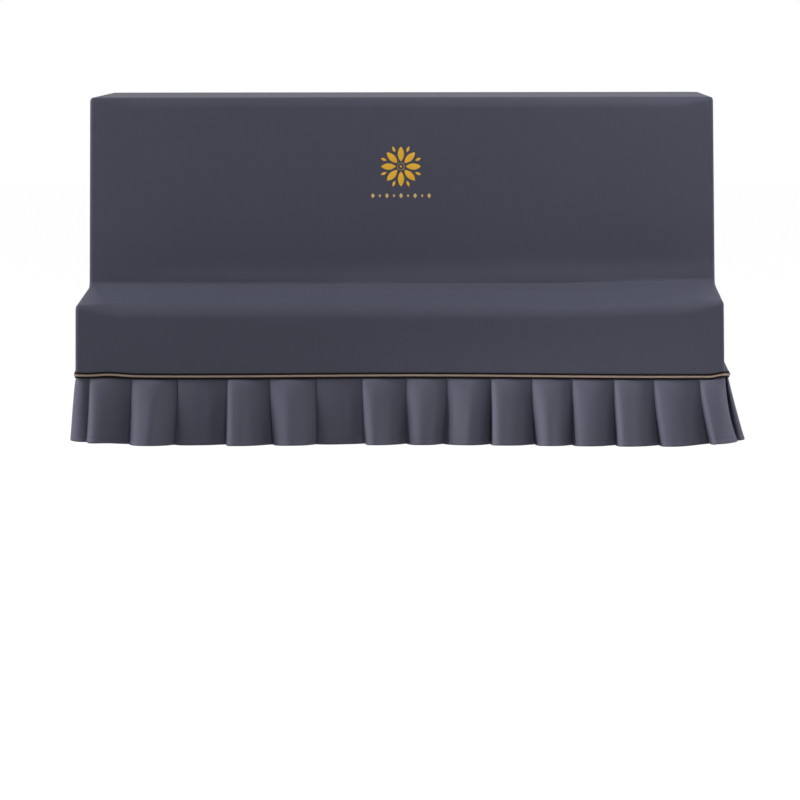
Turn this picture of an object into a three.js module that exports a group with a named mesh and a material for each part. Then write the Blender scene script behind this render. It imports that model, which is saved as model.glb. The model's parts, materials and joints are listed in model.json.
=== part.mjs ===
// Upright piano cover: a fitted cloth cover that hangs over the case and the key ledge, open below,
// with braid over its lower seam and a knife-pleated frill round the front and both sides.
// Millimetres, +X along the keyboard, +Y to the back, +Z up.
// The origin is the middle of the underside of the top, where the cover rests on the piano.
import * as THREE from 'three'

// Sizes of the cover as it hangs, to the middle of the cloth.
const topHalfWidth = 759 // from the middle to either side, at the top
const sideFlare = 0.0197 // how much each side stands out for every millimetre further down
const topHalfDepth = 190
const ledgeDepth = 221 // how far the ledge over the keys stands in front of the upper front
const braidDrop = 651 // from the top down to the seam that the braid covers
const hemDrop = 816

// Cloth and making.
const coverCloth = 2
const frillCloth = 1.6
const sewnGap = 0.5 // clearance between two pieces that are sewn edge to edge
const edgeTurn = 7 // radius at which the main and back panels turn round to meet the sides
const backSeamDrop = 20 // the seam across the back lies this far below the top
const sideInset = edgeTurn + sewnGap // a side panel ends this far inside the panels it meets
const sideBack = topHalfDepth - sideInset

// The side profile of the main panel, corner by corner from the back seam to the braid.
// The folds are tight at the side seams and roll softly in between. rightRise is how much higher
// the cloth sits at the right side.
const frontY = -topHalfDepth - ledgeDepth
const profileCorners = [
  { at: 'back seam', y: topHalfDepth, z: -backSeamDrop, radius: 0, seamRadius: 0, rightRise: 0 },
  { at: 'back edge', y: topHalfDepth, z: coverCloth / 2, radius: 14, seamRadius: 12, rightRise: 0 },
  { at: 'front edge', y: -topHalfDepth, z: coverCloth / 2, radius: 19, seamRadius: 12, rightRise: 0 },
  { at: 'valley', y: -topHalfDepth - 3, z: -460, radius: 20, seamRadius: 18, rightRise: 8 },
  { at: 'ledge fold', y: frontY, z: -484, radius: 34, seamRadius: 13, rightRise: 10 },
  { at: 'braid seam', y: frontY, z: sewnGap / 2 - braidDrop, radius: 0, seamRadius: 0, rightRise: 0 },
]
const softenWidth = 90 // the folds reach their soft radius this far in from the side seams
const rightRiseWidth = 420 // the rise to the right starts this far in from the right side

// Soft waves of the cloth, none of them regular: how far it stands out, in millimetres.
const upperBillow = 4
const ledgeSag = 5
const lowerWave = 1.6
const cornerRise = { left: 4, right: 8, reach: 36 } // the lower seam rides up at the front corners
const seamWave = { height: 1.6, length: 1130, lowAt: -510 }
const sideBillow = 3
const sideShares = [0, 0.022, 0.045, 0.09, 0.2, 0.4, 0.7, 1] // sections of a side, from the front

// The gathered frill pushes the side panels out along the lower seam, most at peak behind the
// front corners and no longer at fade behind that. height is how far up the push is felt.
const sidePush = { left: 3, right: 13, peak: 26, fade: 240, height: 40 }

// The braid: a flat tape with a gilt twist laid along its middle.
const tapeHeight = 14
const tapeCloth = 1
const twistHeight = 6
const twistDepth = 2.4
const layGap = 0.3 // clearance between a piece and what it is laid on

// The frill's pleats along the front, from left to right. x is where the fold leaves the braid, lap
// the cloth tucked behind it, lean how far it has drifted along the front at the hem, reach how far
// it stands out there, open how far its layers part there, crown how much further its panel swells
// beside the fold, and peak the share of the panel's width at which it swells most.
const frontPleats = [
  { x: -736, lap: 20, lean: -8, reach: 8, open: 3, crown: 28, peak: 0.25 },
  { x: -635, lap: 24, lean: -5, reach: 16, open: 3, crown: 40, peak: 0.41 },
  { x: -524, lap: 25, lean: -9, reach: 8, open: 3, crown: 12, peak: 0.33 },
  { x: -407, lap: 22, lean: -2, reach: 18, open: 2, crown: 40, peak: 0.20 },
  { x: -306, lap: 24, lean: 10, reach: 18, open: 3, crown: 40, peak: 0.43 },
  { x: -193, lap: 22, lean: 0, reach: 8, open: 2, crown: 8, peak: 0.38 },
  { x: -86, lap: 23, lean: 10, reach: 18, open: 3, crown: 40, peak: 0.23 },
  { x: 20, lap: 20, lean: 1, reach: 10, open: 3, crown: 40, peak: 0.41 },
  { x: 118, lap: 25, lean: -11, reach: 8, open: 3, crown: 39, peak: 0.47 },
  { x: 221, lap: 20, lean: 0, reach: 18, open: 2, crown: 40, peak: 0.20 },
  { x: 318, lap: 20, lean: 10, reach: 18, open: 3, crown: 40, peak: 0.34 },
  { x: 414, lap: 22, lean: 2, reach: 18, open: 3, crown: 33, peak: 0.30 },
  { x: 513, lap: 21, lean: 6, reach: 18, open: 3, crown: 35, peak: 0.20 },
  { x: 607, lap: 25, lean: 16, reach: 18, open: 4, crown: 29, peak: 0.20 },
  { x: 715, lap: 22, lean: 28, reach: 18, open: 4, crown: 34, peak: 0.20 },
]
// The pleats along either side. run is the distance from the front corner.
const leftPleats = [
  { run: 498, lap: 22, lean: 2, reach: 9, open: 3, crown: 12, peak: 0.3 },
  { run: 392, lap: 24, lean: -3, reach: 10, open: 3, crown: 14, peak: 0.3 },
  { run: 285, lap: 22, lean: 2, reach: 9, open: 3, crown: 12, peak: 0.3 },
  { run: 178, lap: 24, lean: -2, reach: 10, open: 3, crown: 13, peak: 0.3 },
  { run: 72, lap: 22, lean: -4, reach: 8, open: 4, crown: 14, peak: 0.3 },
]
const rightPleats = [
  { run: 20, lap: 24, lean: 6, reach: 40, open: 11, crown: 6, peak: 0.28 },
  { run: 126, lap: 22, lean: 3, reach: 12, open: 3, crown: 16, peak: 0.28 },
  { run: 232, lap: 24, lean: -3, reach: 12, open: 4, crown: 18, peak: 0.28 },
  { run: 338, lap: 22, lean: 3, reach: 12, open: 3, crown: 14, peak: 0.28 },
  { run: 444, lap: 24, lean: -2, reach: 12, open: 3, crown: 18, peak: 0.28 },
]
const layerStep = 2.8 // from one layer of a pleat to the next, at the seam
const frillInset = 2 * layerStep + 2.1 // its back layer lies this far inside the lower seam
const frillCorner = 14 // radius of the frill's line at the front corners
const foldNose = 1.4 // how far a folded edge reaches past its two layers
const reachCurve = 1.15 // a fold stands out as this power of the share of the frill's drop
const leanCurve = 1.5 // and drifts along as this one
const crownCurve = 1.1 // and the swelling beside it grows as this one
const tuckOpening = 0.25 // the share of a lap that has opened out at the hem
const tuckOut = 6 // how far a tuck lies out there
const drawnUp = 0.0015 // cloth that stands out by d hangs higher by this share of d squared, per mm
const hemLift = { height: 4.5, reach: 130 } // and how much higher it hangs near the front corners
const frillEnd = { out: 12, crown: 5, peak: 0.3 } // how it stands out at the hem where it ends at the back

const coverGrey = new THREE.Color(0x4a4b56)
const frillGrey = new THREE.Color(0x565762)
const tapeBlack = new THREE.Color(0x120d0c)
const twistGilt = new THREE.Color(0x8a7355)

const smooth = (t) => THREE.MathUtils.smoothstep(t, 0, 1)
const lerp = THREE.MathUtils.lerp
const sideX = (z) => topHalfWidth - sideFlare * z

// A closed sheet of cloth on a grid of points of its middle surface. grid[i][j] holds the points,
// i across and j along, and the outside is on the side of (step in i) x (step in j).
function clothSheet(grid, thickness) {
  const last = { i: grid.length - 1, j: grid[0].length - 1 }
  const step = (i, j, di, dj) => {
    const ahead = grid[Math.min(i + di, last.i)][Math.min(j + dj, last.j)]
    const behind = grid[Math.max(i - di, 0)][Math.max(j - dj, 0)]
    return new THREE.Vector3().subVectors(ahead, behind)
  }
  const positions = []
  for (const side of [0.5, -0.5]) {
    grid.forEach((row, i) => row.forEach((point, j) => {
      const outward = step(i, j, 1, 0).cross(step(i, j, 0, 1)).normalize()
      positions.push(...point.clone().addScaledVector(outward, side * thickness))
    }))
  }
  const perRow = last.j + 1
  const perSide = perRow * (last.i + 1)
  const triangles = []
  const quad = (a, b, c, d) => triangles.push(a, b, c, a, c, d)
  const outer = (i, j) => i * perRow + j
  const inner = (i, j) => perSide + outer(i, j)
  for (let i = 0; i < last.i; i++) {
    for (let j = 0; j < last.j; j++) {
      quad(outer(i, j), outer(i + 1, j), outer(i + 1, j + 1), outer(i, j + 1))
      quad(inner(i, j), inner(i, j + 1), inner(i + 1, j + 1), inner(i + 1, j))
    }
    quad(outer(i + 1, 0), outer(i, 0), inner(i, 0), inner(i + 1, 0))
    quad(outer(i, last.j), outer(i + 1, last.j), inner(i + 1, last.j), inner(i, last.j))
  }
  for (let j = 0; j < last.j; j++) {
    quad(outer(0, j), outer(0, j + 1), inner(0, j + 1), inner(0, j))
    quad(outer(last.i, j + 1), outer(last.i, j), inner(last.i, j), inner(last.i, j + 1))
  }
  const geometry = new THREE.BufferGeometry()
  geometry.setAttribute('position', new THREE.Float32BufferAttribute(positions, 3))
  geometry.setIndex(triangles)
  geometry.computeVertexNormals()
  return geometry
}

// A solid swept through rings of points, each ring in the same order, with flat ends.
function sweptSolid(rings) {
  const count = rings[0].length
  const triangles = []
  for (let k = 0; k < rings.length - 1; k++) {
    for (let n = 0; n < count; n++) {
      const [a, b] = [k * count + n, k * count + (n + 1) % count]
      triangles.push(a, a + count, b + count, a, b + count, b)
    }
  }
  const end = (rings.length - 1) * count
  for (let n = 1; n < count - 1; n++) triangles.push(0, n, n + 1, end, end + n + 1, end + n)
  const geometry = new THREE.BufferGeometry().setFromPoints(rings.flat())
  geometry.setIndex(triangles)
  geometry.computeVertexNormals()
  return geometry
}

function mesh(name, geometry, colour, roughness) {
  const material = new THREE.MeshStandardMaterial({ color: colour, roughness, metalness: 0 })
  const made = new THREE.Mesh(geometry, material)
  made.name = name
  return made
}

// The stations of a profile with rounded corners, each with its point (y, z) and outward normal.
// u is the share of the width from the left side to the right.
function profileStations(u, straightSteps, foldSteps) {
  const width = 2 * topHalfWidth
  const softness = smooth((Math.min(u, 1 - u) * width) / softenWidth)
  const rise = smooth(1 - ((1 - u) * width) / rightRiseWidth)
  const corners = profileCorners.map((c) => ({
    point: new THREE.Vector2(c.y, c.z + rise * c.rightRise),
    radius: lerp(c.seamRadius, c.radius, softness),
  }))
  const stations = []
  let from = corners[0].point
  for (let k = 1; k < corners.length; k++) {
    const { point, radius } = corners[k]
    const into = new THREE.Vector2().subVectors(point, corners[k - 1].point).normalize()
    const next = corners[k + 1]?.point
    const out = next ? new THREE.Vector2().subVectors(next, point).normalize() : into
    const turn = Math.atan2(into.cross(out), into.dot(out))
    const cut = radius * Math.tan(Math.abs(turn) / 2)
    const arcStart = point.clone().addScaledVector(into, -cut)
    for (let n = stations.length ? 1 : 0; n <= straightSteps[k - 1]; n++) {
      const t = n / straightSteps[k - 1]
      stations.push({ point: from.clone().lerp(arcStart, t), heading: into.clone(), stretch: k, t })
    }
    if (!next) break
    const towardCentre = new THREE.Vector2(-into.y, into.x).multiplyScalar(Math.sign(turn))
    const centre = arcStart.clone().addScaledVector(towardCentre, radius)
    for (let n = 1; n <= foldSteps; n++) {
      const angle = (turn * n) / foldSteps
      const spoke = towardCentre.clone().rotateAround(new THREE.Vector2(), angle).negate()
      const heading = into.clone().rotateAround(new THREE.Vector2(), angle)
      stations.push({ point: centre.clone().addScaledVector(spoke, radius), heading, stretch: k, t: 1 })
    }
    from = stations[stations.length - 1].point
  }
  return stations.map((s) => ({ ...s, normal: new THREE.Vector2(s.heading.y, -s.heading.x) }))
}

// How far the main panel stands out from its plain profile, at a share u of the width from left to
// right. Straight stretches bulge in their middle, and nothing moves at the seams.
function unevenness(stretch, t, u) {
  const held = Math.sin(Math.PI * t) * Math.sin(Math.PI * u)
  const wander = Math.sin(7.3 * u + 0.6) + 0.6 * Math.sin(12.1 * u + 2.2)
  if (stretch === 3) return held * upperBillow * (0.4 + 0.45 * wander)
  if (stretch === 4) return -held * ledgeSag * (0.7 + 0.35 * wander)
  if (stretch === 5) return held * lowerWave * wander
  return 0
}

// 1 at a front corner of the lower seam, falling to 0 at the given reach from it, seen from above.
function nearCorner(x, y, reach) {
  return smooth(1 - Math.hypot(Math.abs(x) - sideX(-braidDrop), y - frontY) / reach)
}

// How far the lower seam lies above its plain height at a place on it, seen from above.
function seamRise(x, y) {
  const wave = -seamWave.height * Math.cos((2 * Math.PI * (x - seamWave.lowAt)) / seamWave.length)
  return wave + (x < 0 ? cornerRise.left : cornerRise.right) * nearCorner(x, y, cornerRise.reach)
}

// How far a side panel, the braid on it or the frill below it is pushed out at a place.
function pushedOut(x, y, z) {
  const run = y - frontY - sideInset
  const along = smooth(run / sidePush.peak) * smooth(1 - (run - sidePush.peak) / sidePush.fade)
  return (x < 0 ? sidePush.left : sidePush.right) * along * smooth(1 - (z + braidDrop) / sidePush.height)
}

// Points across a panel that turns back round both its side edges: the share of the width at which
// each lies, with how far it has turned round. steps divide the part between the narrow edge shares.
function acrossPanel(edgeShares, steps) {
  const across = []
  const turnSteps = 3
  const edgeWidth = 0.06
  for (let n = 0; n < turnSteps; n++) {
    const angle = (Math.PI / 2) * (1 - n / turnSteps)
    across.push({ u: 0, beyond: edgeTurn * Math.sin(angle), inward: edgeTurn * (1 - Math.cos(angle)) })
  }
  const inner = Array.from({ length: steps + 1 }, (_, n) => lerp(edgeWidth, 1 - edgeWidth, n / steps))
  const shares = [...edgeShares, ...inner, ...edgeShares.map((share) => 1 - share).reverse()]
  across.push(...shares.map((u) => ({ u, beyond: 0, inward: 0 })))
  for (let n = turnSteps - 1; n >= 0; n--) across.push({ ...across[n], u: 1 })
  return across
}

function acrossX(column, z) {
  const half = sideX(z) - edgeTurn
  return lerp(-half, half, column.u) + (column.u < 0.5 ? -column.beyond : column.beyond)
}

function mainPanel() {
  const straightSteps = [1, 3, 6, 3, 3]
  const foldSteps = 4
  const grid = acrossPanel([0, 0.012, 0.03], 12).map((column) => {
    return profileStations(column.u, straightSteps, foldSteps).map((s) => {
      const out = unevenness(s.stretch, s.t, column.u) - column.inward
      const z = s.point.y + s.normal.y * out
      const x = acrossX(column, z)
      const y = s.point.x + s.normal.x * out
      const rise = s.stretch === 5 ? s.t * seamRise(x, y) : 0
      return new THREE.Vector3(x, y, z + rise)
    })
  })
  return mesh('main_panel', clothSheet(grid, coverCloth), coverGrey, 0.75)
}

// A stepped side panel that fills the profile inside the turned edges of the main and back panels.
// Each of its rows runs from a place on the front edge to the same height at the back.
function sidePanel(name, side) {
  const stations = profileStations(side < 0 ? 0 : 1, [1, 1, 5, 1, 5], 4)
  const topEnd = stations.findIndex((s) => s.stretch === 2 && s.t === 1)
  const foot = stations.length - 1
  const rows = stations.map((s, k) => {
    const front = s.point.clone().addScaledVector(s.normal, -sideInset)
    const back = Math.min(sideBack, -front.x)
    return sideShares.map((share) => {
      const y = lerp(front.x, back, share)
      const z = front.y + (k === foot ? seamRise(side * sideX(front.y), y) : 0)
      const billow = sideBillow * Math.sin(Math.PI * share) * Math.sin(Math.PI * (z / braidDrop)) ** 2
      return new THREE.Vector3(side * (sideX(z) + pushedOut(side, y, z) - billow), y, z)
    })
  }).slice(topEnd)
  const grid = side < 0 ? rows : rows.map((row) => row.reverse())
  return mesh(name, clothSheet(grid, coverCloth), coverGrey, 0.75)
}

function backPanel() {
  const rows = 5
  const seam = -backSeamDrop - sewnGap
  const grid = acrossPanel([0], 7).map((column) => Array.from({ length: rows + 1 }, (_, n) => {
    const z = lerp(-hemDrop, seam, n / rows)
    const x = acrossX(column, z)
    const billow = Math.sin(Math.PI * column.u) * Math.sin(Math.PI * n / rows) * Math.sin(9 * column.u + n)
    return new THREE.Vector3(x, topHalfDepth - column.inward + 2 * billow, z)
  }))
  return mesh('back_panel', clothSheet(grid, coverCloth), coverGrey, 0.75)
}

// The line that the frill and the braid follow, seen from above: forward along the left side, across
// the front and back along the right side. place gives a point a distance s along it and out from it.
function threeSides(halfX, nearY, farY, radius) {
  const sideRun = farY - nearY - radius
  const arcRun = (Math.PI / 2) * radius
  const frontRun = 2 * (halfX - radius)
  const onBend = (x, facing) => [
    x + radius * Math.cos(facing),
    nearY + radius + radius * Math.sin(facing),
    facing,
  ]
  // Each stretch gives a place on it, with the direction in which the cover faces there.
  const stretches = [
    { run: sideRun, at: (d) => [-halfX, farY - d, Math.PI] },
    { run: arcRun, at: (d) => onBend(-halfX + radius, Math.PI + d / radius) },
    { run: frontRun, at: (d) => [-halfX + radius + d, nearY, 1.5 * Math.PI] },
    { run: arcRun, at: (d) => onBend(halfX - radius, 1.5 * Math.PI + d / radius) },
    { run: sideRun, at: (d) => [halfX, nearY + radius + d, 0] },
  ]
  const place = (s, out, z) => {
    let d = s
    let n = 0
    while (n < stretches.length - 1 && d > stretches[n].run) {
      d -= stretches[n].run
      n += 1
    }
    const [x, y, facing] = stretches[n].at(d)
    return new THREE.Vector3(x + out * Math.cos(facing), y + out * Math.sin(facing), z)
  }
  return { place, sideRun, arcRun, frontRun, length: 2 * (sideRun + arcRun) + frontRun }
}

// The sections of the braid along the lower seam, standOff outside the middle of the cover's cloth.
// Each gives a point further out and further up.
function braidSections(standOff) {
  const line = threeSides(sideX(-braidDrop) + standOff, frontY - standOff, sideBack, edgeTurn + standOff)
  const { sideRun, arcRun, frontRun, length } = line
  const { reach } = cornerRise
  const spread = (from, run, steps) => Array.from({ length: steps }, (_, n) => from + (n / steps) * run)
  const onSide = sideShares.slice(1).map((share) => share * (sideBack - frontY - sideInset)).reverse()
  const toFront = onSide.map((run) => sideBack - frontY - sideInset - run)
  const leftHalf = [...toFront, ...spread(sideRun, arcRun, 5), ...spread(sideRun + arcRun, reach, 3)]
  const middle = spread(sideRun + arcRun + reach, frontRun - 2 * reach, 12)
  const rightHalf = leftHalf.map((s) => length - s).reverse()
  return [...leftHalf, ...middle, sideRun + arcRun + frontRun - reach, ...rightHalf].map((s) => {
    const { x, y } = line.place(s, 0, 0)
    const pushed = pushedOut(x, y, -braidDrop)
    return (out, up) => line.place(s, out + pushed, seamRise(x, y) - braidDrop + up)
  })
}

function braidTape() {
  const sections = braidSections(coverCloth / 2 + layGap + tapeCloth / 2)
  const grid = sections.map((at) => [-0.5, 0.5].map((share) => at(0, share * tapeHeight)))
  return mesh('braid_tape', clothSheet(grid, tapeCloth), tapeBlack, 0.6)
}

function braidTwist() {
  const sections = braidSections(coverCloth / 2 + tapeCloth + 2 * layGap + twistDepth / 2)
  const sides = 8
  const rings = sections.map((at) => Array.from({ length: sides }, (_, n) => {
    const angle = (2 * Math.PI * (n + 0.5)) / sides
    return at((twistDepth / 2) * Math.cos(angle), (twistHeight / 2) * Math.sin(angle))
  }))
  return mesh('braid_twist', sweptSolid(rings), twistGilt, 0.5)
}

// The frill hangs from a line just inside the lower seam.
const frillLine = threeSides(sideX(-braidDrop) - frillInset, frontY + frillInset, sideBack, frillCorner)
const leftCorner = frillLine.sideRun + frillLine.arcRun / 2
const rightCorner = frillLine.length - leftCorner
const cornerHalf = frillLine.arcRun / 2
const frontMiddle = frillLine.length / 2
const pleats = [
  ...leftPleats.map((p) => ({ ...p, s: leftCorner - p.run })),
  ...frontPleats.map((p) => ({ ...p, s: frontMiddle + p.x })),
  ...rightPleats.map((p) => ({ ...p, s: rightCorner + p.run })),
]

// Where the cloth of pleat n lies at a share t of the frill's drop. Its visible panel runs from its
// folded edge to the next one, and on to a tuck behind that. Pleat -1 is the panel at the back left
// end, which has no folded edge, and the last panel has no tuck.
function pleatEnds(n, t) {
  const pleat = pleats[n]
  const next = pleats[n + 1]
  const endOut = layerStep + frillEnd.out * t
  const nextFold = next ? next.s + next.lean * t ** leanCurve : frillLine.length
  return {
    fold: pleat ? pleat.s + pleat.lean * t ** leanCurve : 0,
    foldOut: pleat ? 2 * layerStep + pleat.reach * t ** reachCurve : endOut,
    layers: layerStep + (pleat ? pleat.open * t : 0),
    crown: (pleat ?? frillEnd).crown * t ** crownCurve,
    peak: (pleat ?? frillEnd).peak,
    nextFold,
    tuck: nextFold + (next ? next.lap * (1 - tuckOpening * t) : 0),
    backOut: next ? tuckOut * t : endOut,
  }
}

// Where a panel has a section, as shares of its width, and the share from which it falls back to its
// tuck. The two panels that round a front corner have more sections: the left one falls back once it
// is round, and the right one as it turns.
function panelSections({ fold, nextFold }) {
  const bends = [leftCorner, rightCorner].flatMap((s) => [s - cornerHalf, s, s + cornerHalf])
  const asShares = bends.map((s) => (s - fold) / (nextFold - fold))
  const rounding = asShares.filter((share) => share > 0 && share < 1)
  if (rounding.length === 0) return { shares: [0.1, 0.25, 0.45, 0.7, 1], fallFrom: 0 }
  const fallFrom = Math.min(...rounding)
  return { shares: [0.12, ...rounding, 0.88, 1].sort((a, b) => a - b), fallFrom }
}

// The line of cloth through the pleats from first to last. Each point is a distance along the
// frill's line and how far the cloth lies out from it. Two runs join inside a tuck, where the seam is
// hidden: the later run starts on the way back from that tuck.
function frillSection(first, last, t) {
  const points = []
  for (let n = first; n <= last; n++) {
    const pleat = pleatEnds(n, t)
    if (n >= 0) {
      const { tuck, backOut } = pleatEnds(n - 1, t)
      const joins = n === first
      if (!joins) points.push([tuck + foldNose, backOut + layerStep / 2])
      points.push([tuck - (joins ? 2 * sewnGap : 0), backOut + layerStep])
      points.push([pleat.fold, pleat.foldOut - pleat.layers])
      const nose = foldNose * (pleat.layers / layerStep)
      points.push([pleat.fold - nose, pleat.foldOut - pleat.layers / 2])
    }
    points.push([pleat.fold, pleat.foldOut])
    const { shares, fallFrom } = panelSections(pleat)
    const skew = Math.log(0.5) / Math.log(pleat.peak)
    for (const share of shares) {
      const fall = smooth((share - fallFrom) / (1 - fallFrom))
      const swell = Math.sin(Math.PI * share ** skew)
      const out = lerp(pleat.foldOut, pleat.backOut, fall) + pleat.crown * swell
      points.push([lerp(pleat.fold, pleat.nextFold, share), out])
    }
    if (pleats[n + 1]) points.push([pleat.tuck, pleat.backOut])
  }
  return points
}

function frillRun(name, first, last) {
  const seam = -braidDrop - sewnGap / 2
  const rows = [1, 0.4, 0].map((t) => frillSection(first, last, t).map(([s, out]) => {
    const { x, y } = frillLine.place(s, 0, 0)
    const lift = t * hemLift.height * nearCorner(x, y, hemLift.reach) + drawnUp * out ** 2
    const z = lerp(seam, -hemDrop, t) + seamRise(x, y) + lift
    return frillLine.place(s, out + pushedOut(x, y, seam), z)
  }))
  const grid = rows[0].map((_, k) => rows.map((row) => row[k]))
  return mesh(name, clothSheet(grid, frillCloth), frillGrey, 0.7)
}

const cover = new THREE.Group()
cover.add(
  mainPanel(),
  sidePanel('side_panel_left', -1),
  sidePanel('side_panel_right', 1),
  backPanel(),
  braidTape(),
  braidTwist(),
  frillRun('frill_left', -1, leftPleats.length - 1),
  frillRun('frill_front', leftPleats.length, leftPleats.length + frontPleats.length - 1),
  frillRun('frill_right', leftPleats.length + frontPleats.length, pleats.length - 1),
)

export default cover
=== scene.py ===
# Upright piano cover: its cloth, braid, stitching and gilt motif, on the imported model's frame.
# Metres, +X along the keyboard, +Y to the back, +Z up. The origin is under the middle of the top.
import bpy
import json
import math
import random
from mathutils import Matrix, Vector
from mathutils.bvhtree import BVHTree

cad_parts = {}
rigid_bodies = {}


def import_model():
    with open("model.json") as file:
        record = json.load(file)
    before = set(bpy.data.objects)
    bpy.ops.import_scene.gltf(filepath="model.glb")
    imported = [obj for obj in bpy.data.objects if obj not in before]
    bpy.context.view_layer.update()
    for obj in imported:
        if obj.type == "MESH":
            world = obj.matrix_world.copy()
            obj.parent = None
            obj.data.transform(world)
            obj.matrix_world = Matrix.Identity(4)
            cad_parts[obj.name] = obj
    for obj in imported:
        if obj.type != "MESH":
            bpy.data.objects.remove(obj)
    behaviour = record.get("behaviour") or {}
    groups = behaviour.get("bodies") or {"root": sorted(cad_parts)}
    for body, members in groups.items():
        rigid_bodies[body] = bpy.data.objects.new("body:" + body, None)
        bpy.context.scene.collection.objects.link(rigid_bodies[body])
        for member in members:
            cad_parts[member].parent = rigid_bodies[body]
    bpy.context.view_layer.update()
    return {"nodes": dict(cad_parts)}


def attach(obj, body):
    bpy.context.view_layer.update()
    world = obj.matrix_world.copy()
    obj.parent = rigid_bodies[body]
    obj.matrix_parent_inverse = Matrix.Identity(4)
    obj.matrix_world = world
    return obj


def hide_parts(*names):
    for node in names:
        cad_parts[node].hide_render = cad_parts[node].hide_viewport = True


for leftover in list(bpy.data.objects):
    bpy.data.objects.remove(leftover)
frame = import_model()
bpy.context.scene.view_settings.view_transform = "Standard"
print("frame loaded:", len(frame["nodes"]), "nodes")

# The cover's main sizes, to the middle of its cloth.
cover = {
    "halfWidth": 0.759,  # at the top
    "flare": 0.0197,  # each side stands out this much for every metre further down
    "halfDepth": 0.190,
    "frontY": -0.411,  # the front below the ledge
    "seam": -0.651,  # height of the seam under the braid
    "hem": -0.816,
    "edgeTurn": 0.007,  # radius at which the long panels turn round to meet the sides
    "sewnGap": 0.0005,
    "softenWidth": 0.090,  # the long folds reach their soft radius this far in from the sides
    "riseWidth": 0.420,  # and rise towards the right over this width
}
inset = cover["edgeTurn"] + cover["sewnGap"]
sideBack = cover["halfDepth"] - inset


def mix(a, b, share):
    return a + (b - a) * share


def ease(share):
    share = min(max(share, 0.0), 1.0)
    return share * share * (3 - 2 * share)


def hump(distance, width):
    return math.exp(-((distance / width) ** 2))


def spread(start, end, steps):
    return [mix(start, end, n / steps) for n in range(steps + 1)]


def sideX(z):
    return cover["halfWidth"] - cover["flare"] * z


# Camera

camera = {
    "place": (0.171, -6.2, 0.214),
    "yaw": 1.10,
    "pitch": 6.64,
    "roll": -0.12,
    "lens": 110.8,
    "shift": (-0.03, -0.13),
}


def addCamera():
    yaw, pitch, roll = (math.radians(camera[turn]) for turn in ("yaw", "pitch", "roll"))
    flat = math.cos(pitch)
    ahead = Vector((-math.sin(yaw) * flat, math.cos(yaw) * flat, -math.sin(pitch)))
    level = Vector((math.cos(yaw), math.sin(yaw), 0))
    above = level.cross(ahead)
    right = level * math.cos(roll) + above * math.sin(roll)
    up = above * math.cos(roll) - level * math.sin(roll)
    data = bpy.data.cameras.new("camera")
    data.lens = camera["lens"]
    data.shift_x, data.shift_y = camera["shift"]
    made = bpy.data.objects.new("camera", data)
    bpy.context.scene.collection.objects.link(made)
    turned = Matrix((right, up, -ahead)).transposed().to_4x4()
    made.matrix_world = Matrix.Translation(camera["place"]) @ turned
    bpy.context.scene.camera = made


addCamera()

# Meshes

def makePiece(name, points, faces, material, uvs=None):
    mesh = bpy.data.meshes.new(name)
    mesh.from_pydata(points, [], faces)
    mesh.shade_smooth()
    mesh.materials.append(material)
    if uvs:
        layer = mesh.uv_layers.new(name="threads")  # metres along and across the threads
        for loop in mesh.loops:
            layer.data[loop.index].uv = uvs[loop.vertex_index]
    piece = bpy.data.objects.new(name, mesh)
    bpy.context.scene.collection.objects.link(piece)
    return piece


def gridFaces(rows, columns, first=0):
    faces = []
    for i in range(rows - 1):
        for j in range(columns - 1):
            at = first + i * columns + j
            faces.append((at, at + columns, at + columns + 1, at + 1))
    return faces


def gridNormals(grid):
    lastRow, lastColumn = len(grid) - 1, len(grid[0]) - 1
    normals = []
    for i, row in enumerate(grid):
        before, after = grid[max(i - 1, 0)], grid[min(i + 1, lastRow)]
        line = []
        for j in range(lastColumn + 1):
            across = row[min(j + 1, lastColumn)] - row[max(j - 1, 0)]
            line.append((after[j] - before[j]).cross(across).normalized())
        normals.append(line)
    return normals


def gridThreads(grid):
    # Distances along the cloth, taken on the middle row and the middle column.
    middleRow, middleColumn = len(grid) // 2, len(grid[0]) // 2
    across, along = [0.0], [0.0]
    for j in range(1, len(grid[0])):
        across.append(across[-1] + (grid[middleRow][j] - grid[middleRow][j - 1]).length)
    for i in range(1, len(grid)):
        along.append(along[-1] + (grid[i][middleColumn] - grid[i - 1][middleColumn]).length)
    return [(u, v) for u in along for v in across]


def clothPiece(name, grid, thickness, material, relief=None):
    # A sheet on a grid of points of its middle. relief(j, u) is how far point j of a row is raised
    # along its normal, at a distance u along the cloth.
    threads = gridThreads(grid)
    if relief:
        columns = len(grid[0])
        normals = gridNormals(grid)
        raised = []
        for i, row in enumerate(grid):
            u = threads[i * columns][0]
            raised.append([point + normals[i][j] * relief(j, u) for j, point in enumerate(row)])
        grid = raised
    points = [point for row in grid for point in row]
    piece = makePiece(name, points, gridFaces(len(grid), len(grid[0])), material, threads)
    thick = piece.modifiers.new("thickness", "SOLIDIFY")
    thick.thickness = thickness
    thick.offset = 0
    return piece, grid


# Materials

def paint(name):
    material = bpy.data.materials.new(name)
    material.use_nodes = True
    tree = material.node_tree
    return material, tree.nodes, tree.links, tree.nodes["Principled BSDF"]


def node(nodes, kind, **settings):
    made = nodes.new(kind)
    for key, value in settings.items():
        if hasattr(made, key):
            setattr(made, key, value)
        else:
            made.inputs[key].default_value = value
    return made


def math2(nodes, links, operation, a, b):
    made = nodes.new("ShaderNodeMath")
    made.operation = operation
    for socket, value in zip(made.inputs, (a, b)):
        if isinstance(value, (int, float)):
            socket.default_value = value
        else:
            links.new(value, socket)
    return made.outputs[0]


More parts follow.
